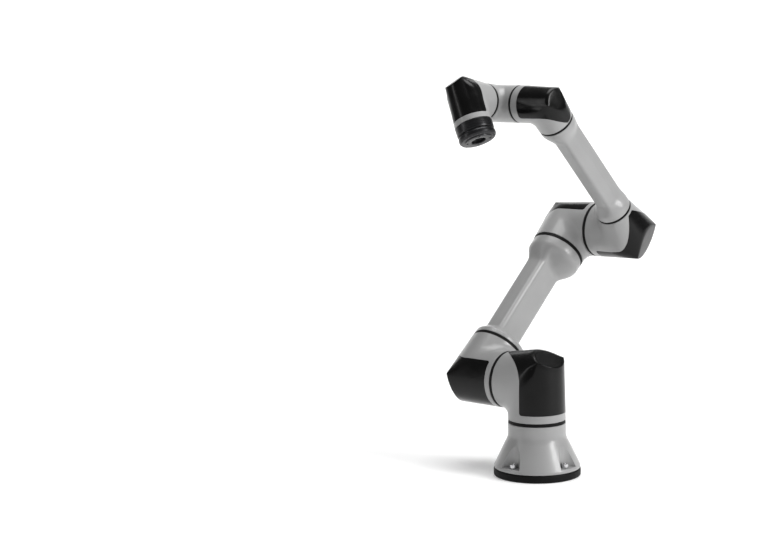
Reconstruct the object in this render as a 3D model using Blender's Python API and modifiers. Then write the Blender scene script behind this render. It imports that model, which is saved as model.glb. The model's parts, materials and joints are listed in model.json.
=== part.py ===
"""Six-axis collaborative robot arm.

Seven right-angle joint housings, an upper arm tube and a forearm tube stand on a turned base.
Each joint has its motor and strain-wave gear in one housing and its output flange in the next.
Lengths are in metres, +Z is up, and the origin is the centre of the base plate's underside.
"""
import math

import bmesh
import bpy
from mathutils import Matrix, Vector

# ---- driving dimensions ----------------------------------------------------------------------
BASE_RADIUS = 0.0958
PLATE_THICKNESS = 0.017
SKIRT_RADIUS = 0.0945
BOLT_CIRCLE_RADIUS = 0.079
BASE_JOINT_HEIGHT = 0.120          # height of the joint 1 seal
SHOULDER_HEIGHT = 0.202            # height of the joint 2 axis
BIG_RADIUS = 0.0635                # shoulder, upper arm and elbow housings
SMALL_RADIUS = 0.0415              # wrist housings
SHOULDER_OFFSET = 0.160            # between the joint 1 axis and the upper arm's axis
UPPER_ARM_LENGTH = 0.455
ELBOW_OFFSET = 0.160               # between the upper arm's axis and the forearm's axis
FOREARM_LENGTH = 0.430
WRIST_1_OFFSET = 0.128
WRIST_2_OFFSET = 0.113

# Distance from each housing's corner, where its two port axes cross, to the middle of each seal.
SEAL_2 = 0.080                     # joint 2, from both shoulder corners
UPPER_ARM_FOOT = 0.078
UPPER_ARM_HEAD = 0.078
SEAL_3 = 0.080                     # joint 3, from both elbow corners
FOREARM_FOOT = 0.076
FOREARM_HEAD = 0.055
SEAL_4 = 0.064
SEAL_5_LOWER = 0.051
SEAL_6 = 0.060

# Rest pose: the arm's heading and the angles of its links.
HEADING = math.radians(43.4)
UPPER_ARM_PITCH = math.radians(137.77)
FOREARM_PITCH = math.radians(44.67)
WRIST_PITCH = math.radians(6.5)
TOOL_ROLL = math.radians(117.56)

WALL = 0.004
CLEARANCE = 0.0003
BIG_SEAL_WIDTH = 0.0070
SMALL_SEAL_WIDTH = 0.0050
SEGMENTS_BIG = 20
SEGMENTS_SMALL = 18
SEGMENTS_INNER = 12
SEGMENTS_BASE = 32
SEGMENTS_BOLT = 10

# ---- the chain of axes -----------------------------------------------------------------------
UP = Vector((0, 0, 1))
ARM_SIDE = Vector((-math.cos(HEADING), math.sin(HEADING), 0))       # joint 2, 3 and 4 axes
FORWARD = UP.cross(ARM_SIDE)


def in_arm_plane(pitch):
    """Unit vector in the plane the arm folds in, pitched up from the arm's forward direction."""
    return FORWARD * math.cos(pitch) + UP * math.sin(pitch)


UPPER_ARM = in_arm_plane(UPPER_ARM_PITCH)
FOREARM = in_arm_plane(FOREARM_PITCH)
WRIST = in_arm_plane(WRIST_PITCH)
TOOL = ARM_SIDE * math.cos(TOOL_ROLL) + WRIST.cross(ARM_SIDE) * math.sin(TOOL_ROLL)

SHOULDER = UP * SHOULDER_HEIGHT
ARM_ROOT = SHOULDER + ARM_SIDE * SHOULDER_OFFSET
ELBOW = ARM_ROOT + UPPER_ARM * UPPER_ARM_LENGTH
FOREARM_ROOT = ELBOW - ARM_SIDE * ELBOW_OFFSET
WRIST_1 = FOREARM_ROOT + FOREARM * FOREARM_LENGTH
WRIST_2 = WRIST_1 + ARM_SIDE * WRIST_1_OFFSET
WRIST_3 = WRIST_2 + WRIST * WRIST_2_OFFSET

# ---- materials -------------------------------------------------------------------------------
FINISHES = {
    "grey_paint": ((0.50, 0.50, 0.50), 0.38, 0.0),
    "black_cover": ((0.012, 0.012, 0.013), 0.22, 0.0),
    "seal_rubber": ((0.015, 0.015, 0.015), 0.60, 0.0),
    "black_anodised": ((0.020, 0.020, 0.022), 0.35, 0.6),
    "steel": ((0.55, 0.55, 0.56), 0.30, 1.0),
    "motor_black": ((0.06, 0.06, 0.07), 0.50, 0.3),
    "gear_steel": ((0.45, 0.46, 0.48), 0.32, 1.0),
    "bearing_steel": ((0.60, 0.60, 0.62), 0.22, 1.0),
}


def make_materials():
    made = {}
    for name, (colour, roughness, metallic) in FINISHES.items():
        material = bpy.data.materials.new(name)
        material.use_nodes = True
        shader = material.node_tree.nodes["Principled BSDF"]
        shader.inputs["Base Color"].default_value = (*colour, 1.0)
        shader.inputs["Roughness"].default_value = roughness
        shader.inputs["Metallic"].default_value = metallic
        made[name] = material
    return made


# ---- modelling helpers -----------------------------------------------------------------------
def clear_scene():
    for item in list(bpy.data.objects):
        bpy.data.objects.remove(item, do_unlink=True)


def new_collection(name):
    collection = bpy.data.collections.new(name)
    bpy.context.scene.collection.children.link(collection)
    return collection


def frame_at(origin, x_axis, y_axis):
    """Matrix whose local X and Y lie along the two axes given, which are at right angles."""
    z_axis = x_axis.cross(y_axis)
    turn = Matrix((x_axis, y_axis, z_axis)).transposed()
    return Matrix.Translation(origin) @ turn.to_4x4()


def axis_frame(origin, axis):
    """Matrix whose local Z lies along the axis."""
    side = axis.orthogonal().normalized()
    return frame_at(origin, side, axis.cross(side))


def add_object(name, mesh, matrix, finish, collection, smooth=True):
    item = bpy.data.objects.new(name, mesh)
    item.matrix_world = matrix
    collection.objects.link(item)
    if finish is not None:
        mesh.materials.append(finish)
    if smooth:
        mesh.shade_smooth()
        mesh.set_sharp_from_angle(angle=math.radians(35))
    return item


def add_cutter(name, mesh, matrix, collection):
    cutter = add_object(name, mesh, matrix, None, collection, smooth=False)
    cutter.hide_render = True
    cutter.display_type = "WIRE"
    return cutter


def cut(item, cutter, operation="DIFFERENCE"):
    modifier = item.modifiers.new(cutter.name, "BOOLEAN")
    modifier.operation = operation
    modifier.solver = "EXACT"
    modifier.object = cutter


def turned(name, profile, matrix, finish, collection, segments, closed=True):
    """Turn a profile of (radius, height) points about the local Z axis, outer side first, top down."""
    mesh = bpy.data.meshes.new(name)
    points = [(radius, 0, height) for radius, height in profile]
    edges = [(i, i + 1) for i in range(len(points) - 1)]
    if closed:
        edges.append((len(points) - 1, 0))
    mesh.from_pydata(points, edges, [])
    item = add_object(name, mesh, matrix, finish, collection, smooth=False)
    screw = item.modifiers.new("Turn", "SCREW")
    screw.axis = "Z"
    screw.angle = math.tau
    screw.steps = segments
    screw.render_steps = segments
    screw.use_merge_vertices = True
    screw.merge_threshold = 0.00001
    screw.use_smooth_shade = True
    return item


def ring_profile(outer, inner, low, high, chamfer=0.0):
    """Profile of a ring: down its outer side, in, and up its bore."""
    if chamfer == 0.0:
        return [(outer, high), (outer, low), (inner, low), (inner, high)]
    return [(outer - chamfer, high), (outer, high - chamfer), (outer, low + chamfer),
            (outer - chamfer, low), (inner, low), (inner, high)]


def loft_mesh(name, rows):
    """Close a stack of rings with the same number of points into one solid with flat ends."""
    shell = bmesh.new()
    rings = [[shell.verts.new(point) for point in row] for row in rows]
    count = len(rings[0])
    for lower, upper in zip(rings, rings[1:]):
        for i in range(count):
            j = (i + 1) % count
            shell.faces.new((lower[i], lower[j], upper[j], upper[i]))
    bmesh.ops.triangulate(shell, faces=shell.faces)
    shell.faces.new(list(reversed(rings[0])))
    shell.faces.new(rings[-1])
    bmesh.ops.recalc_face_normals(shell, faces=shell.faces)
    mesh = bpy.data.meshes.new(name)
    shell.to_mesh(mesh)
    shell.free()
    return mesh


def prism_mesh(name, outline, half_depth):
    """Extrude an outline of (x, y) points both ways along Z."""
    rows = [[(x, y, z) for x, y in outline] for z in (-half_depth, half_depth)]
    return loft_mesh(name, rows)


def circle_mesh(name, radius, low, high, segments):
    """A plain cylinder along the local Z axis."""
    mesh = bpy.data.meshes.new(name)
    solid = bmesh.new()
    bmesh.ops.create_cone(solid, cap_ends=True, segments=segments, radius1=radius, radius2=radius,
                          depth=high - low, matrix=Matrix.Translation((0, 0, (low + high) / 2)))
    solid.to_mesh(mesh)
    solid.free()
    return mesh


# ---- right-angle housings --------------------------------------------------------------------
class Housing:
    """A right-angle joint housing with two ports.

    Its local Y axis runs out of the body port, about which the joint or cover is centred, and its
    local X axis runs out of the side port. The body's far end swells by `swell`, narrows by
    `narrow`, and is cut off by a flat facet at `facet_height` and `facet_slope`.
    """

    def __init__(self, name, corner, body, side, body_end, side_end, radius, side_radius=None,
                 swell=0.2, narrow=0.05, facet_height=0.6, facet_slope=0.5):
        self.name = name
        self.matrix = frame_at(corner, side, body)
        self.body_end = body_end
        self.side_end = side_end
        self.radius = radius
        self.side_radius = side_radius or radius
        self.swell = swell
        self.narrow = narrow
        self.facet_height = facet_height
        self.facet_slope = facet_slope

    def line(self, angle, inset, overrun):
        """Five points along one line of the wall, from the body port round to the side port."""
        c, s = math.cos(angle), math.sin(angle)
        body_radius = self.radius - inset
        side_radius = self.side_radius - inset
        far = c < 0
        reach = self.radius * (1 + self.swell) - inset if far else min(body_radius, side_radius * 1.1)
        shrink = 1 - self.narrow if far else 1.0
        start = Vector((body_radius * c, self.body_end + overrun, body_radius * s))
        corner = Vector((body_radius * shrink * c, reach * c, body_radius * (shrink if far else 1) * s))
        end = Vector((self.side_end + overrun, side_radius * c, side_radius * s))
        height = self.facet_height * self.radius - inset

        def above_facet(point):
            return point.y + height + self.facet_slope * (point.x + body_radius)

        at_corner = above_facet(corner)
        if far and at_corner < 0:
            first_share = above_facet(start) / (above_facet(start) - at_corner)
            last_share = at_corner / (at_corner - above_facet(end))
            first = start.lerp(corner, first_share)
            last = corner.lerp(end, last_share)
            return [start, first, (first + last) / 2, last, end]
        blend = 0.16 * self.radius
        if far:
            blend = min(blend, 0.8 * at_corner)
        first = corner + (start - corner).normalized() * blend
        last = corner + (end - corner).normalized() * blend
        middle = (first + corner * 2 + last) / 4
        return [start, first, middle, last, end]

    def solid(self, name, segments, inset=0.0, overrun=0.0):
        lines = [self.line(math.tau * (i + 0.5) / segments, inset, overrun) for i in range(segments)]
        return loft_mesh(name, list(zip(*lines)))

    def cover_outline(self, band, edge, sweep_end, grow, straight=False):
        """Outline of the cover, in the plane of the two port axes.

        The cover takes the far half of the body, up to `band` short of the body port. From the
        body's middle its edge sweeps in a quarter ellipse to the side port, or runs straight.
        """
        out = self.radius * 2.5
        top = self.body_end - band + grow
        corner_radius = 0.005
        points = [(-out, top)]
        for step in range(4):
            turn = math.radians(90 - 30 * step)
            points.append((edge + grow - corner_radius + corner_radius * math.cos(turn),
                           top - corner_radius + corner_radius * math.sin(turn)))
        if straight:
            points.append((sweep_end + grow, -self.radius))
            points.append((sweep_end + grow, -out))
        else:
            middle = -0.1 * self.radius
            across = sweep_end - edge
            down = self.side_radius + middle - grow
            for step in range(1, 8):
                turn = math.radians(90 * step / 7)
                points.append((sweep_end + grow - across * math.cos(turn), middle - down * math.sin(turn)))
            points.append((sweep_end + grow, -out))
        points.append((-out, -out))
        return points


def build_housing(housing, band, edge, sweep_end, finishes, parts, cutters, segments, straight=False):
    """The casting, an open shell, and the cover that closes its access opening."""
    inner = add_cutter(housing.name + "_hollow", housing.solid("hollow", segments, WALL, 0.002),
                       housing.matrix, cutters)
    depth = housing.radius * 1.5
    casting = add_object(housing.name + "_housing", housing.solid(housing.name, segments),
                         housing.matrix, finishes["grey_paint"], parts)
    opening = add_cutter(housing.name + "_opening",
                         prism_mesh("opening", housing.cover_outline(band, edge, sweep_end, CLEARANCE,
                                                                     straight), depth),
                         housing.matrix, cutters)
    cut(casting, inner)
    cut(casting, opening)
    cover = add_object(housing.name + "_cover", housing.solid(housing.name + "_cover", segments),
                       housing.matrix, finishes["black_cover"], parts)
    region = add_cutter(housing.name + "_region",
                        prism_mesh("region", housing.cover_outline(band, edge, sweep_end, 0.0, straight),
                                   depth),
                        housing.matrix, cutters)
    cut(cover, inner)
    cut(cover, region, "INTERSECT")


# ---- arm tubes -------------------------------------------------------------------------------
def section(half_width, half_depth, squareness, height, segments, shift=0.0):
    """A ring between an ellipse (squareness 2) and a rounded rectangle (6 and up), shifted in width."""
    ring = []
    for i in range(segments):
        c, s = math.cos(math.tau * i / segments), math.sin(math.tau * i / segments)
        power = 2 / squareness
        ring.append((shift + half_width * math.copysign(abs(c) ** power, c),
                     half_depth * math.copysign(abs(s) ** power, s), height))
    return ring


def build_tube(name, matrix, stations, finish, parts, cutters, segments):
    """A hollow tube through stations of (height, half width, half depth, squareness, shift)."""
    outer = [section(w, d, q, h, segments, s) for h, w, d, q, s in stations]
    item = add_object(name, loft_mesh(name, outer), matrix, finish, parts)
    last = len(stations) - 1
    overruns = {0: -0.002, last: 0.002}
    inner = [section(w - WALL, d - WALL, q, h + overruns.get(i, 0), segments, s)
             for i, (h, w, d, q, s) in enumerate(stations)]
    cut(item, add_cutter(name + "_hollow", loft_mesh("hollow", inner), matrix, cutters))


def build_upper_arm(finishes, parts, cutters):
    gap = BIG_SEAL_WIDTH / 2 + CLEARANCE
    low = UPPER_ARM_FOOT + gap
    high = UPPER_ARM_LENGTH - UPPER_ARM_HEAD - gap
    wide, deep, shift = 0.0265, 0.0400, 0.0100
    stations = [(low, 0.0625, 0.0625, 2.0, 0.0), (low + 0.012, 0.0620, 0.0620, 2.0, 0.0),
                (low + 0.030, 0.0440, 0.0510, 2.8, 0.006), (low + 0.060, wide, deep, 5.0, shift),
                (high - 0.085, wide, deep, 5.0, shift), (high - 0.045, 0.0480, 0.0530, 2.8, 0.006),
                (high - 0.022, 0.0620, 0.0620, 2.0, 0.0), (high, 0.0625, 0.0625, 2.0, 0.0)]
    matrix = frame_at(ARM_ROOT, ARM_SIDE, UPPER_ARM.cross(ARM_SIDE))
    build_tube("upper_arm_tube", matrix, stations, finishes["grey_paint"], parts, cutters, SEGMENTS_BIG)


def build_forearm(finishes, parts, cutters):
    gap = SMALL_SEAL_WIDTH / 2 + CLEARANCE
    low = FOREARM_FOOT + gap
    high = FOREARM_LENGTH - FOREARM_HEAD - gap
    wide, deep, shift = 0.0185, 0.0290, -0.0090
    stations = [(low, 0.0412, 0.0412, 2.0, 0.0), (low + 0.016, 0.0405, 0.0405, 2.0, 0.0),
                (low + 0.045, 0.0245, 0.0320, 3.0, -0.006), (low + 0.075, wide, deep, 5.0, shift),
                (high - 0.060, wide, deep, 5.0, shift), (high - 0.028, 0.0260, 0.0330, 3.0, -0.005),
                (high - 0.010, 0.0405, 0.0405, 2.0, 0.0), (high, 0.0412, 0.0412, 2.0, 0.0)]
    matrix = frame_at(FOREARM_ROOT, ARM_SIDE, FOREARM.cross(ARM_SIDE))
    build_tube("forearm_tube", matrix, stations, finishes["grey_paint"], parts, cutters, SEGMENTS_SMALL)


# ---- base ------------------------------------------------------------------------------------
def build_base(finishes, parts, cutters):
    upright = Matrix.Identity(4)
    edge = 0.0025
    plate_profile = [(0, PLATE_THICKNESS), (BASE_RADIUS - edge, PLATE_THICKNESS),
                     (BASE_RADIUS, PLATE_THICKNESS - edge), (BASE_RADIUS, edge),
                     (BASE_RADIUS - edge, 0), (0, 0)]
    plate = turned("base_plate", plate_profile, upright, finishes["seal_rubber"], parts,
                   SEGMENTS_BASE, closed=False)

    floor = PLATE_THICKNESS + CLEARANCE
    rim = floor + 0.006
    neck = BIG_RADIUS
    top = BASE_JOINT_HEIGHT - BIG_SEAL_WIDTH / 2 - CLEARANCE
    bore = BIG_RADIUS - 0.006
    casting_profile = [(neck, top), (neck, 0.092), (neck + 0.0035, 0.083), (SKIRT_RADIUS - 0.0015, rim),
                       (SKIRT_RADIUS, rim - 0.002), (SKIRT_RADIUS, floor), (bore, floor), (bore, top)]
    casting = turned("base_casting", casting_profile, upright, finishes["grey_paint"], parts,
                     SEGMENTS_BASE)

    seat = floor + 0.008
    for number in range(4):
        angle = math.radians(45 + 90 * number)
        outward = Vector((math.cos(angle), math.sin(angle), 0))
        pocket = circle_mesh("pocket", 0.0255, seat, BASE_JOINT_HEIGHT, SEGMENTS_SMALL)
        pocket_place = Matrix.Translation(outward * (BOLT_CIRCLE_RADIUS + 0.017))
        cut(casting, add_cutter("pocket_%d" % (number + 1), pocket, pocket_place, cutters))
        hole = circle_mesh("bolt_hole", 0.0046, -0.01, seat + 0.005, SEGMENTS_BOLT)
        bolt_place = Matrix.Translation(outward * BOLT_CIRCLE_RADIUS)
        hole_cutter = add_cutter("bolt_hole_%d" % (number + 1), hole, bolt_place, cutters)
        cut(casting, hole_cutter)
        cut(plate, hole_cutter)
        head = seat + CLEARANCE
        bolt_profile = [(0, head + 0.004), (0.0034, head + 0.004), (0.0034, head + 0.0095),
                        (0.0070, head + 0.0095), (0.0077, head + 0.0088), (0.0077, head),
                        (0.0042, head), (0.0042, 0.003), (0, 0.003)]
        turned("base_bolt_%d" % (number + 1), bolt_profile, bolt_place, finishes["steel"], parts, SEGMENTS_BOLT,
               closed=False)

    # Flat at the back for the cable inlet, which passes into the base's hollow.
    flat_depth = 0.078
    inlet_height = 0.044
    flat = prism_mesh("inlet_flat", [(-0.020, flat_depth), (0.020, flat_depth), (0.020, 0.13), (-0.020, 0.13)],
                      0.017)
    cut(casting, add_cutter("inlet_flat", flat, Matrix.Translation((0, 0, inlet_height)), cutters))
    inlet_frame = axis_frame(Vector((0, 0, inlet_height)), Vector((0, 1, 0)))
    way_in = circle_mesh("inlet_way", 0.0095, 0.04, 0.1, SEGMENTS_INNER)
    cut(casting, add_cutter("inlet_way", way_in, inlet_frame, cutters))
    seat_face = flat_depth + CLEARANCE
    inlet_profile = [(0.0095, seat_face + 0.017), (0.0115, seat_face + 0.015), (0.0115, seat_face + 0.005),
                     (0.0150, seat_face + 0.005), (0.0150, seat_face), (0.0090, seat_face),
                     (0.0090, 0.060), (0.0060, 0.060), (0.0060, seat_face + 0.017)]
    turned("base_cable_inlet", inlet_profile, inlet_frame, finishes["black_anodised"], parts, SEGMENTS_INNER)


# ---- seals, drives and tool flange -----------------------------------------------------------
def build_seal(name, centre, axis, radius, width, finishes, parts):
    half = width / 2
    profile = ring_profile(radius - 0.0004, radius - 0.006, -half, half)
    turned(name, profile, axis_frame(centre, axis), finishes["seal_rubber"], parts,
           SEGMENTS_BIG if radius > 0.05 else SEGMENTS_SMALL)


def build_drive(number, centre, axis, big, finishes, parts):
    """Motor and gear behind the seal along the axis, output flange in front of it."""
    seal_half = (BIG_SEAL_WIDTH if big else SMALL_SEAL_WIDTH) / 2
    bore = 0.016 if big else 0.009
    gear_radius, gear_length = (0.052, 0.020) if big else (0.034, 0.013)
    motor_radius, motor_end = (0.045, 0.060) if big else (0.030, 0.042)
    output_radius, output_depth = (0.050, 0.011) if big else (0.032, 0.008)
    place = axis_frame(centre, axis)
    label = "joint_%d" % number
    gear_low = seal_half + 0.0005
    gear_high = gear_low + gear_length
    turned(label + "_strain_gear", ring_profile(gear_radius, bore, gear_low, gear_high, 0.0015), place,
           finishes["gear_steel"], parts, SEGMENTS_INNER)
    turned(label + "_motor", ring_profile(motor_radius, bore, gear_high + 0.0005, motor_end, 0.002), place,
           finishes["motor_black"], parts, SEGMENTS_INNER)
    turned(label + "_output_flange", ring_profile(output_radius, bore, -output_depth, seal_half, 0.001),
           place, finishes["bearing_steel"], parts, SEGMENTS_INNER)


def build_tool(finishes, parts):
    """Output drum, then the tool flange with its pilot recess, both turned about the tool axis."""
    place = axis_frame(WRIST_3, TOOL)
    start = SEAL_6 + CLEARANCE
    drum = [(0.0360, start + 0.022), (0.0410, start + 0.020), (0.0418, start + 0.018),
            (0.0418, start + 0.001), (0.0408, start), (0.012, start), (0.012, start + 0.022)]
    turned("tool_drum", drum, place, finishes["black_anodised"], parts, SEGMENTS_BIG)
    low = start + 0.022 + CLEARANCE
    high = low + 0.017
    flange = [(0.0240, high), (0.0310, high), (0.0310, high - 0.002), (0.0385, high - 0.002),
              (0.0425, high - 0.006), (0.0425, low + 0.004), (0.0400, low + 0.002), (0.0400, low),
              (0.0100, low), (0.0100, high - 0.0065), (0.01575, high - 0.0065), (0.01575, high - 0.001),
              (0.0165, high)]
    turned("tool_flange", flange, place, finishes["black_anodised"], parts, SEGMENTS_BIG)
    return place, high


def main():
    clear_scene()
    finishes = make_materials()
    parts = new_collection("collaborative_robot_arm")
    cutters = new_collection("cutters")
    build_base(finishes, parts, cutters)

    big_gap = BIG_SEAL_WIDTH / 2 + CLEARANCE
    small_gap = SMALL_SEAL_WIDTH / 2 + CLEARANCE
    wrist_body = SEAL_4 - small_gap
    housings = [
        (Housing("shoulder", SHOULDER, -UP, ARM_SIDE, SHOULDER_HEIGHT - BASE_JOINT_HEIGHT - big_gap,
                 SEAL_2 - big_gap, BIG_RADIUS, swell=0.36, narrow=0.05, facet_height=0.66,
                 facet_slope=0.57), 0.017, -0.002, 0.072, False),
        (Housing("upper_arm_root", ARM_ROOT, -ARM_SIDE, UPPER_ARM, SEAL_2 - big_gap,
                 UPPER_ARM_FOOT - big_gap, BIG_RADIUS, swell=0.16, narrow=0.0, facet_height=0.59,
                 facet_slope=0.49), 0.013, -0.002, 0.070, False),
        (Housing("elbow_upper", ELBOW, -ARM_SIDE, -UPPER_ARM, SEAL_3 - big_gap,
                 UPPER_ARM_HEAD - big_gap, BIG_RADIUS, swell=0.28, narrow=0.09, facet_height=0.44,
                 facet_slope=0.45), 0.011, -0.001, 0.070, False),
        (Housing("elbow_lower", FOREARM_ROOT, ARM_SIDE, FOREARM, SEAL_3 - big_gap,
                 FOREARM_FOOT - small_gap, BIG_RADIUS, SMALL_RADIUS, swell=0.08, narrow=0.03,
                 facet_height=0.38, facet_slope=0.45), 0.017, -0.001, 0.068, False),
        (Housing("wrist_1", WRIST_1, ARM_SIDE, -FOREARM, wrist_body, FOREARM_HEAD - small_gap,
                 SMALL_RADIUS, swell=0.42, narrow=0.10, facet_height=0.85, facet_slope=0.30),
         0.017, 0.000, 0.049, False),
        (Housing("wrist_2", WRIST_2, WRIST, -ARM_SIDE, SEAL_5_LOWER - small_gap, wrist_body,
                 SMALL_RADIUS, swell=0.25, narrow=0.06, facet_height=0.75, facet_slope=0.45),
         0.010, -0.001, 0.056, False),
        (Housing("wrist_3", WRIST_3, TOOL, -WRIST, SEAL_6, WRIST_2_OFFSET - SEAL_5_LOWER - small_gap,
                 SMALL_RADIUS, swell=0.50, narrow=0.20, facet_height=0.70, facet_slope=0.58),
         0.012, 0.006, 0.014, True),
    ]
    for housing, band, edge, sweep_end, straight in housings:
        segments = SEGMENTS_BIG if housing.radius == BIG_RADIUS else SEGMENTS_SMALL
        build_housing(housing, band, edge, sweep_end, finishes, parts, cutters, segments, straight)
    build_upper_arm(finishes, parts, cutters)
    build_forearm(finishes, parts, cutters)

    joint_1 = UP * BASE_JOINT_HEIGHT
    joint_2 = SHOULDER + ARM_SIDE * SEAL_2
    joint_3 = ELBOW - ARM_SIDE * SEAL_3
    joint_4 = WRIST_1 + ARM_SIDE * SEAL_4
    joint_5 = WRIST_2 + WRIST * SEAL_5_LOWER
    joint_6 = WRIST_3 + TOOL * SEAL_6
    arm_foot = ARM_ROOT + UPPER_ARM * UPPER_ARM_FOOT
    arm_head = ELBOW - UPPER_ARM * UPPER_ARM_HEAD
    forearm_foot = FOREARM_ROOT + FOREARM * FOREARM_FOOT
    forearm_head = WRIST_1 - FOREARM * FOREARM_HEAD
    for name, centre, axis, radius in (
            ("joint_1_seal", joint_1, UP, BIG_RADIUS), ("joint_2_seal", joint_2, ARM_SIDE, BIG_RADIUS),
            ("upper_arm_foot_seal", arm_foot, UPPER_ARM, BIG_RADIUS),
            ("upper_arm_head_seal", arm_head, UPPER_ARM, BIG_RADIUS),
            ("joint_3_seal", joint_3, ARM_SIDE, BIG_RADIUS),
            ("forearm_foot_seal", forearm_foot, FOREARM, SMALL_RADIUS),
            ("forearm_head_seal", forearm_head, FOREARM, SMALL_RADIUS),
            ("joint_4_seal", joint_4, ARM_SIDE, SMALL_RADIUS),
            ("joint_5_seal", joint_5, WRIST, SMALL_RADIUS)):
        width = BIG_SEAL_WIDTH if radius == BIG_RADIUS else SMALL_SEAL_WIDTH
        build_seal(name, centre, axis, radius, width, finishes, parts)

    for number, centre, axis, big in ((1, joint_1, UP, True), (2, joint_2, ARM_SIDE, True),
                                      (3, joint_3, ARM_SIDE, True), (4, joint_4, -ARM_SIDE, False),
                                      (5, joint_5, -WRIST, False)):
        build_drive(number, centre, axis, big, finishes, parts)
    place = axis_frame(joint_6, -TOOL)
    turned("joint_6_strain_gear", ring_profile(0.034, 0.009, 0.0025, 0.0155, 0.0015), place,
           finishes["gear_steel"], parts, SEGMENTS_INNER)
    turned("joint_6_motor", ring_profile(0.030, 0.009, 0.016, 0.042, 0.002), place,
           finishes["motor_black"], parts, SEGMENTS_INNER)
    build_tool(finishes, parts)


main()
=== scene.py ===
"""Looks for the six-axis collaborative arm: fine casings, covers, tubes, base and tool flange.

Lengths are in metres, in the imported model's frame. Joint places and axes come from the frame.
"""
import json
import math

import bmesh
import bpy
from mathutils import Matrix, Vector


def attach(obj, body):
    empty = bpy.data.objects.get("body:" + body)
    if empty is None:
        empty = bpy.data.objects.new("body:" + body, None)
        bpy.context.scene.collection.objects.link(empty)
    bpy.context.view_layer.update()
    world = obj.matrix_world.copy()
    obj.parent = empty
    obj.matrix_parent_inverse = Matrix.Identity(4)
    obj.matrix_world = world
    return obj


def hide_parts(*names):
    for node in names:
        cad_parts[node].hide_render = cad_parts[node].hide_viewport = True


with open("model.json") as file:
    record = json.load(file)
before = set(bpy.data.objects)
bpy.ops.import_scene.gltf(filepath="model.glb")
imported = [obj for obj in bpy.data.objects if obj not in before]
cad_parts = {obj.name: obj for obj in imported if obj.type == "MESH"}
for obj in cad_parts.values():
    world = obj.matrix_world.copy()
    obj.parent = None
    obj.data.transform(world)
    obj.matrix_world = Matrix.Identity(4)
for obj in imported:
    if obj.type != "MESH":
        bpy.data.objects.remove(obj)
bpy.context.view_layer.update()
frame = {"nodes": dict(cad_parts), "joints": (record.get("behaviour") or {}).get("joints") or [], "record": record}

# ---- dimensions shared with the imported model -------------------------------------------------
BASE_RADIUS = 0.0957
PLATE_THICKNESS = 0.017
SKIRT_RADIUS = 0.0944
BOLT_CIRCLE_RADIUS = 0.079
BASE_JOINT_HEIGHT = 0.120
BIG_RADIUS = 0.0635
SMALL_RADIUS = 0.0415
LINK_OFFSET = 0.160                # both the shoulder's and the elbow's
SEAL_2 = 0.080
UPPER_ARM_FOOT = 0.078
UPPER_ARM_HEAD = 0.078
SEAL_3 = 0.080
FOREARM_FOOT = 0.076
FOREARM_HEAD = 0.055
SEAL_4 = 0.064
SEAL_5 = 0.051
SEAL_6 = 0.060
BIG_SEAL = 0.0070
SMALL_SEAL = 0.0050
GAP = 0.0004                       # shut line between neighbouring pieces
WALL = 0.004
LINES = 120                        # wall lines round a housing
PORT_CHAMFER = 0.0006
POCKET_RADIUS = 0.0255
POCKET_OFFSET = 0.017              # pocket axis, outward of the bolt circle
TUBE_LINES = 160                   # lines round a tube

# ---- the chain of axes, read from the frame's joints -----------------------------------------
JOINTS = {joint["name"]: joint for joint in frame["joints"]}


def joint_point(name):
    return Vector(JOINTS[name].get("pos_m", (0, 0, 0)))


def joint_axis(name):
    return Vector(JOINTS[name]["axis"]).normalized()


UP = Vector((0, 0, 1))
ARM_SIDE = joint_axis("shoulder_pitch")
WRIST = joint_axis("wrist_2_turn")
TOOL = joint_axis("tool_turn")
SHOULDER = joint_point("shoulder_pitch")
ELBOW = joint_point("elbow_pitch")
WRIST_1 = joint_point("wrist_1_pitch")
WRIST_2 = joint_point("wrist_2_turn")
WRIST_3 = joint_point("tool_turn")
ARM_ROOT = SHOULDER + ARM_SIDE * LINK_OFFSET
FOREARM_ROOT = ELBOW - ARM_SIDE * LINK_OFFSET
UPPER_ARM = (ELBOW - ARM_ROOT).normalized()
FOREARM = (WRIST_1 - FOREARM_ROOT).normalized()
UPPER_ARM_LENGTH = (ELBOW - ARM_ROOT).length
FOREARM_LENGTH = (WRIST_1 - FOREARM_ROOT).length


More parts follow.
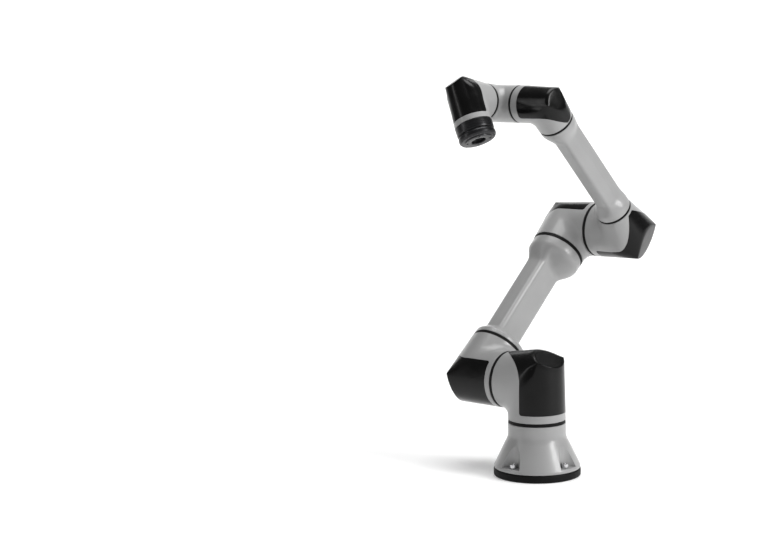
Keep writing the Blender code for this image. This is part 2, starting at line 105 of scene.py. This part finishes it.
# ---- materials -------------------------------------------------------------------------------
class Surface:
    """A Principled material with helpers for its procedural detail."""

    def __init__(self, name, colour, roughness, metallic=0.0, coat=0.0, shine=0.5):
        self.material = bpy.data.materials.new(name)
        self.material.use_nodes = True
        self.nodes = self.material.node_tree.nodes
        self.links = self.material.node_tree.links
        self.shader = self.nodes["Principled BSDF"]
        self.shader.inputs["Base Color"].default_value = (*colour, 1)
        self.shader.inputs["Roughness"].default_value = roughness
        self.shader.inputs["Metallic"].default_value = metallic
        self.shader.inputs["Coat Weight"].default_value = coat
        self.shader.inputs["Specular IOR Level"].default_value = shine
        self.shader.inputs["Coat Roughness"].default_value = 0.12

    def noise(self, scale, detail=3.0, stretch=None):
        place = self.nodes.new("ShaderNodeTexCoord")
        noise = self.nodes.new("ShaderNodeTexNoise")
        noise.inputs["Scale"].default_value = scale
        noise.inputs["Detail"].default_value = detail
        if stretch:
            mapping = self.nodes.new("ShaderNodeMapping")
            mapping.inputs["Scale"].default_value = stretch
            self.links.new(place.outputs["Object"], mapping.inputs["Vector"])
            self.links.new(mapping.outputs["Vector"], noise.inputs["Vector"])
        else:
            self.links.new(place.outputs["Object"], noise.inputs["Vector"])
        return noise.outputs["Fac"]

    def ramp(self, factor, low, high, start=0.3, end=0.7):
        ramp = self.nodes.new("ShaderNodeValToRGB")
        ramp.color_ramp.elements[0].position = start
        ramp.color_ramp.elements[1].position = end
        ramp.color_ramp.elements[0].color = (*low, 1)
        ramp.color_ramp.elements[1].color = (*high, 1)
        self.links.new(factor, ramp.inputs["Fac"])
        return ramp.outputs["Color"]

    def vary_colour(self, scale, low, high):
        self.links.new(self.ramp(self.noise(scale), low, high), self.shader.inputs["Base Color"])

    def vary_roughness(self, scale, low, high, stretch=None):
        spread = self.nodes.new("ShaderNodeMapRange")
        spread.inputs["From Min"].default_value = 0.3
        spread.inputs["From Max"].default_value = 0.7
        spread.inputs["To Min"].default_value = low
        spread.inputs["To Max"].default_value = high
        self.links.new(self.noise(scale, 4.0, stretch), spread.inputs["Value"])
        self.links.new(spread.outputs["Result"], self.shader.inputs["Roughness"])

    def bump(self, scale, height, strength=0.3, stretch=None):
        bump = self.nodes.new("ShaderNodeBump")
        bump.inputs["Distance"].default_value = height
        bump.inputs["Strength"].default_value = strength
        self.links.new(self.noise(scale, 2.0, stretch), bump.inputs["Height"])
        self.links.new(bump.outputs["Normal"], self.shader.inputs["Normal"])


def paint_surface():
    surface = Surface("grey_paint", (0.30, 0.30, 0.30), 0.34, coat=0.15)
    surface.vary_colour(9.0, (0.285, 0.285, 0.285), (0.315, 0.315, 0.315))
    surface.vary_roughness(26.0, 0.30, 0.40)
    surface.bump(900.0, 0.0003, 0.10)
    return surface.material


def cover_surface():
    surface = Surface("black_cover", (0.003, 0.003, 0.003), 0.2, shine=0.20)
    surface.vary_colour(14.0, (0.002, 0.002, 0.002), (0.004, 0.004, 0.004))
    surface.vary_roughness(34.0, 0.17, 0.27)
    surface.bump(1200.0, 0.0002, 0.08)
    return surface.material


def rubber_surface():
    surface = Surface("seal_rubber", (0.004, 0.004, 0.004), 0.55, shine=0.12)
    surface.vary_colour(30.0, (0.003, 0.003, 0.003), (0.006, 0.006, 0.006))
    surface.vary_roughness(60.0, 0.48, 0.62)
    surface.bump(1500.0, 0.0003, 0.25)
    return surface.material


def metal_surface(name, low, high, rough_low, rough_high, metallic):
    surface = Surface(name, low, rough_low, metallic)
    surface.vary_colour(40.0, low, high)
    surface.vary_roughness(90.0, rough_low, rough_high, stretch=(1.0, 1.0, 12.0))
    surface.bump(700.0, 0.0002, 0.15, stretch=(1.0, 1.0, 10.0))
    return surface.material


def floor_surface():
    surface = Surface("floor", (0.86, 0.86, 0.86), 0.7)
    surface.vary_colour(1.5, (0.855, 0.855, 0.855), (0.87, 0.87, 0.87))
    surface.vary_roughness(5.0, 0.6, 0.75)
    surface.shader.inputs["Emission Color"].default_value = (1, 1, 1, 1)
    surface.shader.inputs["Emission Strength"].default_value = 0.22
    return surface.material


MATERIALS = {
    "grey_paint": paint_surface(),
    "black_cover": cover_surface(),
    "seal_rubber": rubber_surface(),
    "black_anodised": metal_surface("black_anodised", (0.010, 0.010, 0.011), (0.018, 0.018, 0.020),
                                    0.24, 0.36, 0.5),
    "steel": metal_surface("steel", (0.50, 0.50, 0.51), (0.62, 0.62, 0.63), 0.18, 0.30, 1.0),
    "motor_black": metal_surface("motor_black", (0.05, 0.05, 0.055), (0.08, 0.08, 0.085), 0.4, 0.55, 0.3),
    "gear_steel": metal_surface("gear_steel", (0.40, 0.41, 0.43), (0.50, 0.51, 0.53), 0.25, 0.38, 1.0),
    "bearing_steel": metal_surface("bearing_steel", (0.55, 0.55, 0.57), (0.66, 0.66, 0.68),
                                   0.16, 0.28, 1.0),
}


# ---- modelling helpers -----------------------------------------------------------------------
def frame_at(origin, x_axis, y_axis):
    """Matrix whose local X and Y lie along the two axes given, which are at right angles."""
    turn = Matrix((x_axis, y_axis, x_axis.cross(y_axis))).transposed()
    return Matrix.Translation(origin) @ turn.to_4x4()


def axis_frame(origin, axis):
    side = axis.orthogonal().normalized()
    return frame_at(origin, side, axis.cross(side))


def add_piece(name, mesh, matrix, slot, body, nodes):
    """A finished piece: placed, shaded, given its material, riding on its body for its CAD nodes."""
    piece = bpy.data.objects.new(name, mesh)
    bpy.context.scene.collection.objects.link(piece)
    mesh.transform(matrix)
    mesh.materials.clear()
    mesh.materials.append(MATERIALS[slot])
    mesh.shade_smooth()
    mesh.set_sharp_from_angle(angle=math.radians(32))
    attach(piece, body)
    if nodes:
        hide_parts(*nodes)
    return piece


def loft_mesh(name, rows, capped=True):
    """Skin a stack of rings; open at the ends unless capped, in which case it is a solid."""
    shell = bmesh.new()
    rings = [[shell.verts.new(point) for point in row] for row in rows]
    count = len(rings[0])
    for lower, upper in zip(rings, rings[1:]):
        for i in range(count):
            j = (i + 1) % count
            shell.faces.new((lower[i], lower[j], upper[j], upper[i]))
    bmesh.ops.triangulate(shell, faces=shell.faces)
    if capped:
        shell.faces.new(list(reversed(rings[0])))
        shell.faces.new(rings[-1])
    else:
        for i in range(count):
            j = (i + 1) % count
            shell.faces.new((rings[-1][i], rings[-1][j], rings[0][j], rings[0][i]))
    bmesh.ops.recalc_face_normals(shell, faces=shell.faces)
    mesh = bpy.data.meshes.new(name)
    shell.to_mesh(mesh)
    shell.free()
    return mesh


def prism_mesh(name, outline, half_depth):
    return loft_mesh(name, [[(x, y, z) for x, y in outline] for z in (-half_depth, half_depth)])


def turned_mesh(name, profile, segments=96):
    """A closed ring turned from (radius, height) points about the local Z axis."""
    turns = [math.tau * i / segments for i in range(segments)]
    rows = [[(radius * math.cos(turn), radius * math.sin(turn), height) for turn in turns]
            for radius, height in profile]
    return loft_mesh(name, rows, capped=False)


def rounded(profile, radius, steps=4):
    """Round each corner of a closed profile with a small quadratic curve."""
    points = [Vector(point) for point in profile]
    result = []
    for index, corner in enumerate(points):
        before, after = points[index - 1], points[(index + 1) % len(points)]
        back, ahead = before - corner, after - corner
        reach = min(radius, back.length * 0.45, ahead.length * 0.45)
        start, end = corner + back.normalized() * reach, corner + ahead.normalized() * reach
        for step in range(steps + 1):
            t = step / steps
            result.append(tuple(start * (1 - t) ** 2 + corner * 2 * t * (1 - t) + end * t ** 2))
    return result


def boolean(mesh, others, operation):
    """Mesh after cutting it by, or keeping what it shares with, each of the other meshes."""
    item = bpy.data.objects.new("work", mesh)
    bpy.context.scene.collection.objects.link(item)
    tools = []
    for other in others:
        tool = bpy.data.objects.new("tool", other)
        bpy.context.scene.collection.objects.link(tool)
        modifier = item.modifiers.new("cut", "BOOLEAN")
        modifier.operation = operation
        modifier.solver = "EXACT"
        modifier.object = tool
        tools.append(tool)
    evaluated = item.evaluated_get(bpy.context.evaluated_depsgraph_get())
    result = bpy.data.meshes.new_from_object(evaluated)
    for used in [item] + tools:
        bpy.data.objects.remove(used)
    return result


# ---- right-angle housings --------------------------------------------------------------------
class Housing:
    """A right-angle housing: local Y runs out of the body port and local X out of the side port."""

    def __init__(self, corner, body, side, body_end, side_end, radius, side_radius=None,
                 swell=0.2, narrow=0.05, facet_height=0.6, facet_slope=0.5, crisp=0.0015, soft=0.010):
        self.matrix = frame_at(corner, side, body)
        self.body_end, self.side_end = body_end, side_end
        self.radius, self.side_radius = radius, side_radius or radius
        self.swell, self.narrow = swell, narrow
        self.facet_height, self.facet_slope = facet_height, facet_slope
        self.crisp, self.soft = crisp, soft

    def corners(self, angle, inset):
        """The two bends of one line of the wall, with its ends and how far each bend is rounded."""
        c, s = math.cos(angle), math.sin(angle)
        body_radius, side_radius = self.radius - inset, self.side_radius - inset
        far = c < 0
        reach = self.radius * (1 + self.swell) - inset if far else min(body_radius, side_radius * 1.1)
        shrink = 1 - self.narrow * min(1.0, max(0.0, -c / 0.6)) ** 2
        start = Vector((body_radius * c, self.body_end, body_radius * s))
        corner = Vector((body_radius * shrink * c, reach * c, body_radius * shrink * s))
        end = Vector((self.side_end, side_radius * c, side_radius * s))
        height = self.facet_height * self.radius - inset

        def above_facet(point):
            return point.y + height + self.facet_slope * (point.x + body_radius)

        clearance = above_facet(corner)
        if far and clearance < 0:
            first = start.lerp(corner, above_facet(start) / (above_facet(start) - clearance))
            last = corner.lerp(end, clearance / (clearance - above_facet(end)))
            return start, first, last, end, (self.crisp, self.soft)
        blend = 0.18 * self.radius
        if far:
            blend = min(blend, 0.9 * clearance + 0.0002)
        first = corner + (start - corner).normalized() * blend
        last = corner + (end - corner).normalized() * blend
        return start, first, last, end, (1.0, 1.0)

    def line(self, angle, inset, overrun, fine):
        """One line of the wall from the body port to the side port, its two bends rounded."""
        start, first, last, end, limits = self.corners(angle, inset)
        start = start + Vector((0, overrun, 0))
        end = end + Vector((overrun, 0, 0))
        span = (last - first).length * 0.48
        bends = []
        for before, bend, after, limit in ((start, first, last, limits[0]), (first, last, end, limits[1])):
            trim = min(limit, span, 0.6 * min((before - bend).length, (after - bend).length))
            near = bend + (before - bend).normalized() * trim
            far = bend + (after - bend).normalized() * trim
            bends.append([near * (1 - t) ** 2 + bend * 2 * t * (1 - t) + far * t ** 2
                          for t in (0.0, 0.2, 0.4, 0.6, 0.8, 1.0)])
        straight = 8 if fine else 1
        points = [start]
        points += [start.lerp(bends[0][0], step / straight) for step in range(1, straight)]
        points += bends[0]
        points += [bends[0][-1].lerp(bends[1][0], step / 4) for step in range(1, 4)]
        points += bends[1]
        points += [bends[1][-1].lerp(end, step / straight) for step in range(1, straight)]
        points.append(end)
        return points

    def solid(self, name, inset=0.0, overrun=0.0, fine=True, lip=0.0):
        """The housing as a closed shape, with a small chamfer at both ports when lip is given."""
        lines = [self.line(math.tau * (i + 0.5) / LINES, inset, overrun, fine) for i in range(LINES)]
        rows = [list(row) for row in zip(*lines)]
        if lip:
            body_shrink = 1 - lip / self.radius
            body_port = rows[0]
            rows[0] = [Vector((p.x * body_shrink, p.y, p.z * body_shrink)) for p in body_port]
            rows.insert(1, [Vector((p.x, p.y - lip, p.z)) for p in body_port])
            side_shrink = 1 - lip / self.side_radius
            side_port = rows[-1]
            rows[-1] = [Vector((p.x, p.y * side_shrink, p.z * side_shrink)) for p in side_port]
            rows.insert(-1, [Vector((p.x - lip, p.y, p.z)) for p in side_port])
        return loft_mesh(name, rows)

    def cover_outline(self, band, edge, sweep_end, grow, straight):
        """Outline of the cover in the plane of the two port axes, grown by a shut line."""
        out = self.radius * 2.5
        top = self.body_end - band + grow
        turn_radius = 0.006
        points = [(-out, top)]
        for step in range(9):
            turn = math.radians(90 - 11.25 * step)
            points.append((edge + grow - turn_radius + turn_radius * math.cos(turn),
                           top - turn_radius + turn_radius * math.sin(turn)))
        if straight:
            points.append((sweep_end + grow, -self.radius))
        else:
            middle = -0.1 * self.radius
            across, down = sweep_end - edge, self.side_radius + middle - grow
            for step in range(1, 33):
                turn = math.radians(90 * step / 32)
                points.append((sweep_end + grow - across * math.cos(turn), middle - down * math.sin(turn)))
        points.append((sweep_end + grow, -out))
        points.append((-out, -out))
        return points


def build_housing(name, housing, body, band, edge, sweep_end, straight=False):
    """The painted casting and the glossy cover over its opening, with a fine shut line between."""
    depth = housing.radius * 1.5
    lip = PORT_CHAMFER
    opening = prism_mesh("opening", housing.cover_outline(band, edge, sweep_end, GAP, straight), depth)
    region = prism_mesh("region", housing.cover_outline(band, edge, sweep_end, 0.0, straight), depth)
    hollow = housing.solid("hollow", WALL, 0.002, fine=False)
    casting = boolean(housing.solid(name, lip=lip), [hollow, opening], "DIFFERENCE")
    add_piece(name + "_casting", casting, housing.matrix, "grey_paint", body, [name + "_housing"])
    shell = boolean(housing.solid(name + "_shell", lip=lip), [hollow], "DIFFERENCE")
    cover = boolean(shell, [region], "INTERSECT")
    add_piece(name + "_glossy_cover", cover, housing.matrix, "black_cover", body, [name + "_cover"])


def build_housings():
    big, small = BIG_SEAL / 2 + GAP, SMALL_SEAL / 2 + GAP
    wrist_body = SEAL_4 - small
    build_housing("shoulder", Housing(
        SHOULDER, -UP, ARM_SIDE, SHOULDER.z - BASE_JOINT_HEIGHT - big, SEAL_2 - big, BIG_RADIUS,
        swell=0.36, narrow=0.05, facet_height=0.66, facet_slope=0.57), "shoulder", 0.017, -0.002, 0.072)
    build_housing("upper_arm_root", Housing(
        ARM_ROOT, -ARM_SIDE, UPPER_ARM, SEAL_2 - big, UPPER_ARM_FOOT - big, BIG_RADIUS,
        swell=0.16, narrow=0.0, facet_height=0.59, facet_slope=0.49), "upper_arm", 0.013, -0.002, 0.070)
    build_housing("elbow_upper", Housing(
        ELBOW, -ARM_SIDE, -UPPER_ARM, SEAL_3 - big, UPPER_ARM_HEAD - big, BIG_RADIUS,
        swell=0.26, narrow=0.10, facet_height=0.44, facet_slope=0.45, crisp=0.008, soft=0.014),
        "upper_arm", 0.011, -0.001, 0.070)
    build_housing("elbow_lower", Housing(
        FOREARM_ROOT, ARM_SIDE, FOREARM, SEAL_3 - big, FOREARM_FOOT - small, BIG_RADIUS, SMALL_RADIUS,
        swell=0.01, narrow=0.03, facet_height=0.36, facet_slope=0.45), "forearm", 0.017, -0.001, 0.068)
    build_housing("wrist_1", Housing(
        WRIST_1, ARM_SIDE, -FOREARM, wrist_body, FOREARM_HEAD - small, SMALL_RADIUS,
        swell=0.42, narrow=0.10, facet_height=0.85, facet_slope=0.30, crisp=0.007, soft=0.009),
        "forearm", 0.017, 0.000, 0.049)
    build_housing("wrist_2", Housing(
        WRIST_2, WRIST, -ARM_SIDE, SEAL_5 - small, wrist_body, SMALL_RADIUS,
        swell=0.25, narrow=0.06, facet_height=0.75, facet_slope=0.45), "wrist_link", 0.010, -0.001, 0.056)
    build_housing("wrist_3", Housing(
        WRIST_3, TOOL, -WRIST, SEAL_6, (WRIST_3 - WRIST_2).length - SEAL_5 - small, SMALL_RADIUS,
        swell=0.50, narrow=0.20, facet_height=0.70, facet_slope=0.58),
        "wrist_end", 0.012, 0.006, 0.014, straight=True)


# ---- arm tubes -------------------------------------------------------------------------------
class Section:
    """A rounded five-sided tube section, flat in front and with a low ridge along its back."""

    def __init__(self, front, back, ridge, half_depth, corner):
        outline = [(front, half_depth), (-back, half_depth), (-ridge, 0.0), (-back, -half_depth),
                   (front, -half_depth)]
        radii = [corner, corner, corner * 0.3, corner, corner]
        self.points = self.round_off([Vector(point) for point in outline], radii)

    @staticmethod
    def round_off(corners, radii):
        result = []
        for index, corner in enumerate(corners):
            before, after = corners[index - 1], corners[(index + 1) % len(corners)]
            start = corner + (before - corner).normalized() * radii[index]
            end = corner + (after - corner).normalized() * radii[index]
            for step in range(13):
                t = step / 12
                result.append(start * (1 - t) ** 2 + corner * 2 * t * (1 - t) + end * t ** 2)
        return result

    def reach(self, angle):
        """How far the section's edge is from its axis in a direction."""
        ray = Vector((math.cos(angle), math.sin(angle)))
        for index, near in enumerate(self.points):
            edge = self.points[(index + 1) % len(self.points)] - near
            across = ray.x * edge.y - ray.y * edge.x
            if abs(across) < 1e-9:
                continue
            distance = (near.x * edge.y - near.y * edge.x) / across
            along = (near.x * ray.y - near.y * ray.x) / across
            if distance > 0 and -1e-6 <= along <= 1 + 1e-6:
                return distance
        raise ValueError("the axis lies outside the section")


def ease(t):
    return t * t * (3 - 2 * t)


def tube_ring(height, collar, share, section, sign):
    """One ring, part way from the round collar to the section (share 0 to 1)."""
    ring = []
    for i in range(TUBE_LINES):
        angle = math.tau * (i + 0.5) / TUBE_LINES
        radius = collar + (section.reach(angle) - collar) * share
        ring.append((sign * radius * math.cos(angle), radius * math.sin(angle), height))
    return ring


def build_tube(name, place, low, high, collar, section, blends, sign, nodes, body):
    """A tube between two collars; blends are the foot's and head's collar lengths and blend lengths."""
    foot_collar, foot_blend, head_collar, head_blend = blends
    edge = 0.0006
    stations = [(low, collar - edge, 0.0), (low + edge, collar, 0.0)]
    for step in range(13):
        t = step / 12
        stations.append((low + foot_collar + foot_blend * t, collar, ease(t)))
    for step in range(13):
        t = step / 12
        stations.append((high - head_collar - head_blend * (1 - t), collar, ease(1 - t)))
    stations += [(high - edge, collar, 0.0), (high, collar - edge, 0.0)]
    outer = [tube_ring(height, size, share, section, sign) for height, size, share in stations]
    inner = []
    for height, size, share in reversed(stations):
        ring = tube_ring(height, size, share, section, sign)
        centre = sum(point[0] for point in ring) / len(ring)
        shrink = 1 - WALL / size
        inner.append([(centre + (x - centre) * shrink, y * shrink, z) for x, y, z in ring])
    add_piece(name, loft_mesh(name, outer + inner, capped=False), place, "grey_paint", body, nodes)


def build_tubes():
    low = UPPER_ARM_FOOT + BIG_SEAL / 2 + GAP
    high = UPPER_ARM_LENGTH - UPPER_ARM_HEAD - BIG_SEAL / 2 - GAP
    section = Section(0.0155, 0.0335, 0.0385, 0.0400, 0.012)
    build_tube("upper_arm_casting", frame_at(ARM_ROOT, ARM_SIDE, UPPER_ARM.cross(ARM_SIDE)), low, high,
               BIG_RADIUS - 0.0012, section, (0.008, 0.026, 0.018, 0.042), -1, ["upper_arm_tube"],
               "upper_arm")
    low = FOREARM_FOOT + SMALL_SEAL / 2 + GAP
    high = FOREARM_LENGTH - FOREARM_HEAD - SMALL_SEAL / 2 - GAP
    section = Section(0.0105, 0.0262, 0.0305, 0.0305, 0.009)
    build_tube("forearm_casting", frame_at(FOREARM_ROOT, ARM_SIDE, FOREARM.cross(ARM_SIDE)), low, high,
               SMALL_RADIUS - 0.0006, section, (0.012, 0.034, 0.008, 0.036), 1, ["forearm_tube"], "forearm")


# ---- base ------------------------------------------------------------------------------------
def build_base():
    plate = rounded([(BASE_RADIUS, PLATE_THICKNESS), (BASE_RADIUS, 0.0), (0.010, 0.0),
                     (0.010, PLATE_THICKNESS)], 0.004, 6)
    add_piece("base_disc", turned_mesh("base_disc", plate, 160), Matrix.Identity(4), "seal_rubber",
              "base", ["base_plate"])

    floor = PLATE_THICKNESS + GAP
    rim = floor + 0.006
    top = BASE_JOINT_HEIGHT - BIG_SEAL / 2 - GAP
    bore = BIG_RADIUS - 0.006
    outline = [(BIG_RADIUS - 0.0006, top), (BIG_RADIUS, top - 0.0006), (BIG_RADIUS, 0.094)]
    fillet_steps = 14
    for step in range(fillet_steps + 1):
        t = step / fillet_steps
        outline.append((BIG_RADIUS + 0.0062 * t * t, 0.094 - 0.0205 * t))
    outline += [(SKIRT_RADIUS - 0.0012, rim + 0.001), (SKIRT_RADIUS, rim - 0.0015),
                (SKIRT_RADIUS, floor + 0.0006),
                (SKIRT_RADIUS - 0.0006, floor), (bore, floor), (bore, top)]
    casting = turned_mesh("base_cone", outline, 160)
    seat = floor + 0.008
    cutters = []
    for number in range(4):
        angle = math.radians(45 + 90 * number)
        outward = Vector((math.cos(angle), math.sin(angle), 0))
        place = Matrix.Translation(outward * (BOLT_CIRCLE_RADIUS + POCKET_OFFSET))
        pocket = bpy.data.meshes.new("pocket")
        solid = bmesh.new()
        bmesh.ops.create_cone(solid, cap_ends=True, segments=96, radius1=POCKET_RADIUS,
                              radius2=POCKET_RADIUS, depth=0.1,
                              matrix=place @ Matrix.Translation((0, 0, seat + 0.05)))
        solid.to_mesh(pocket)
        solid.free()
        cutters.append(pocket)
    inlet_height = 0.044
    flat = prism_mesh("flat", [(-0.020, 0.078), (0.020, 0.078), (0.020, 0.13), (-0.020, 0.13)], 0.017)
    flat.transform(Matrix.Translation((0, 0, inlet_height)))
    cutters.append(flat)
    way_in = bpy.data.meshes.new("way_in")
    solid = bmesh.new()
    turn = Matrix.Translation((0, 0.07, inlet_height)) @ Matrix.Rotation(math.radians(-90), 4, "X")
    bmesh.ops.create_cone(solid, cap_ends=True, segments=48, radius1=0.0095, radius2=0.0095, depth=0.06,
                          matrix=turn)
    solid.to_mesh(way_in)
    solid.free()
    cutters.append(way_in)
    casting = boolean(casting, cutters, "DIFFERENCE")
    add_piece("base_cone", casting, Matrix.Identity(4), "grey_paint", "base", ["base_casting"])

    for number in range(4):
        angle = math.radians(45 + 90 * number)
        place = Matrix.Translation(Vector((math.cos(angle), math.sin(angle), 0)) * BOLT_CIRCLE_RADIUS)
        low = seat + GAP
        head = rounded([(0.0077, low + 0.0095), (0.0077, low), (0.0035, low), (0.0035, low + 0.0035),
                        (0.0038, low + 0.0095)], 0.0007, 3)
        add_piece("base_screw_%d" % (number + 1), turned_mesh("screw", head, 48), place, "steel", "base",
                  ["base_bolt_%d" % (number + 1)])
        # The hex socket's floor takes the near-black anodised material: painted shade at the bottom of the socket,
        # in a screw that is bare steel.
        socket = turned_mesh("socket", [(0.0034, low + 0.0042), (0.0034, low + 0.0034),
                                        (0.0002, low + 0.0034), (0.0002, low + 0.0042)], 6)
        add_piece("base_screw_socket_%d" % (number + 1), socket, place, "black_anodised", "base", [])


# ---- seals and tool --------------------------------------------------------------------------
def build_seal(name, centre, axis, radius, body):
    half = (BIG_SEAL if radius == BIG_RADIUS else SMALL_SEAL) / 2
    outer = radius - 0.0006
    profile = rounded([(outer, half), (outer, -half), (radius - 0.006, -half), (radius - 0.006, half)],
                      0.0007, 3)
    add_piece(name + "_ring", turned_mesh(name, profile, 120), axis_frame(centre, axis), "seal_rubber",
              body, [name])


def build_seals():
    for name, centre, axis, radius, body in (
            ("joint_1_seal", UP * BASE_JOINT_HEIGHT, UP, BIG_RADIUS, "base"),
            ("joint_2_seal", SHOULDER + ARM_SIDE * SEAL_2, ARM_SIDE, BIG_RADIUS, "upper_arm"),
            ("upper_arm_foot_seal", ARM_ROOT + UPPER_ARM * UPPER_ARM_FOOT, UPPER_ARM, BIG_RADIUS,
             "upper_arm"),
            ("upper_arm_head_seal", ELBOW - UPPER_ARM * UPPER_ARM_HEAD, UPPER_ARM, BIG_RADIUS, "upper_arm"),
            ("joint_3_seal", ELBOW - ARM_SIDE * SEAL_3, ARM_SIDE, BIG_RADIUS, "upper_arm"),
            ("forearm_foot_seal", FOREARM_ROOT + FOREARM * FOREARM_FOOT, FOREARM, SMALL_RADIUS, "forearm"),
            ("forearm_head_seal", WRIST_1 - FOREARM * FOREARM_HEAD, FOREARM, SMALL_RADIUS, "forearm"),
            ("joint_4_seal", WRIST_1 + ARM_SIDE * SEAL_4, ARM_SIDE, SMALL_RADIUS, "forearm"),
            ("joint_5_seal", WRIST_2 + WRIST * SEAL_5, WRIST, SMALL_RADIUS, "wrist_link")):
        build_seal(name, centre, axis, radius, body)


def build_tool():
    place = axis_frame(WRIST_3, TOOL)
    start = SEAL_6 + GAP
    drum = rounded([(0.0370, start + 0.0218), (0.0405, start + 0.0205), (0.0413, start + 0.0175),
                    (0.0413, start + 0.0012), (0.0408, start), (0.012, start), (0.012, start + 0.0218)],
                   0.0008, 3)
    add_piece("tool_drum_shell", turned_mesh("tool_drum_shell", drum, 128), place, "black_anodised",
              "tool_mount", ["tool_drum"])
    low = start + 0.0222
    high = start + 0.0390
    flange = rounded([(0.0235, high), (0.0305, high), (0.0312, high - 0.0022), (0.0385, high - 0.0022),
                      (0.0414, high - 0.0062), (0.0414, low + 0.0042), (0.0398, low + 0.0020),
                      (0.0398, low), (0.0100, low), (0.0100, high - 0.0066), (0.01575, high - 0.0066),
                      (0.01575, high - 0.0012), (0.0165, high)], 0.0005, 3)
    face = turned_mesh("tool_flange_face", flange, 128)
    holes = []
    for number in range(4):
        angle = math.radians(45 + 90 * number)
        hole = bpy.data.meshes.new("hole")
        solid = bmesh.new()
        spot = Matrix.Translation((0.025 * math.cos(angle), 0.025 * math.sin(angle), high))
        bmesh.ops.create_cone(solid, cap_ends=True, segments=32, radius1=0.0026, radius2=0.0026,
                              depth=0.018, matrix=spot)
        solid.to_mesh(hole)
        solid.free()
        holes.append(hole)
    add_piece("tool_flange_face", boolean(face, holes, "DIFFERENCE"), place, "black_anodised", "tool_mount",
              ["tool_flange"])


def dress_cad_nodes():
    """The inner drives and the cable inlet keep their CAD shape and get their materials."""
    slots = {entry["node"]: entry["material_slot"] for entry in frame["record"]["subparts"]}
    for name, item in frame["nodes"].items():
        item.data.materials.clear()
        item.data.materials.append(MATERIALS[slots[name]])


# ---- stage, light and camera -----------------------------------------------------------------
def build_stage():
    """A pale floor that curves up into a backdrop far behind the arm."""
    rows = []
    reach, rise, bend = 7.0, 6.0, 2.0
    for x in (-12.0, 12.0):
        row = [(x, -12.0, 0.0), (x, -2.0, 0.0), (x, 1.0, 0.0)]
        for step in range(17):
            turn = math.radians(90 * step / 16)
            row.append((x, reach + bend * math.sin(turn), bend * (1 - math.cos(turn))))
        row.append((x, reach + bend, rise))
        rows.append(row)
    shell = bmesh.new()
    rings = [[shell.verts.new(point) for point in row] for row in rows]
    for i in range(len(rings[0]) - 1):
        shell.faces.new((rings[0][i], rings[1][i], rings[1][i + 1], rings[0][i + 1]))
    mesh = bpy.data.meshes.new("floor")
    shell.to_mesh(mesh)
    shell.free()
    mesh.shade_smooth()
    floor = bpy.data.objects.new("floor", mesh)
    bpy.context.scene.collection.objects.link(floor)
    mesh.materials.append(floor_surface())


def area_light(name, place, target, size, power):
    light = bpy.data.lights.new(name, "AREA")
    light.shape = "RECTANGLE"
    light.size, light.size_y = size
    light.energy = power
    item = bpy.data.objects.new(name, light)
    item.location = place
    item.rotation_euler = (Vector(target) - Vector(place)).to_track_quat("-Z", "Y").to_euler()
    bpy.context.scene.collection.objects.link(item)


def build_lights():
    world = bpy.data.worlds.new("studio")
    bpy.context.scene.world = world
    world.use_nodes = True
    world.node_tree.nodes["Background"].inputs["Color"].default_value = (1, 1, 1, 1)
    world.node_tree.nodes["Background"].inputs["Strength"].default_value = 0.16
    middle = (0.0, 0.1, 0.5)
    area_light("key_right", (2.6, -1.6, 1.9), middle, (0.9, 2.2), 95)
    area_light("top_soft", (0.2, 0.4, 3.6), middle, (2.4, 2.4), 95)
    area_light("left_strip", (-2.6, -0.6, 1.2), middle, (0.35, 2.2), 9)
    area_light("backdrop_wash", (0.0, 4.0, 4.5), (0.0, 8.5, 1.2), (8.0, 2.0), 420)


def build_camera():
    """A long lens, a little above the arm and tipped slightly."""
    camera = bpy.data.cameras.new("camera")
    camera.sensor_width = 36.0
    camera.lens = 89.0625
    item = bpy.data.objects.new("camera", camera)
    pitch, roll = math.radians(7.27), math.radians(-0.93)
    item.matrix_world = (Matrix.Translation((-0.3303, -4.0964, 0.9773))
                         @ Matrix.Rotation(math.radians(90) - pitch, 4, "X")
                         @ Matrix.Rotation(roll, 4, "Z"))
    bpy.context.scene.collection.objects.link(item)
    bpy.context.scene.camera = item
    bpy.context.scene.view_settings.view_transform = "Standard"


dress_cad_nodes()
build_base()
build_housings()
build_tubes()
build_seals()
build_tool()
build_stage()
build_lights()
build_camera()
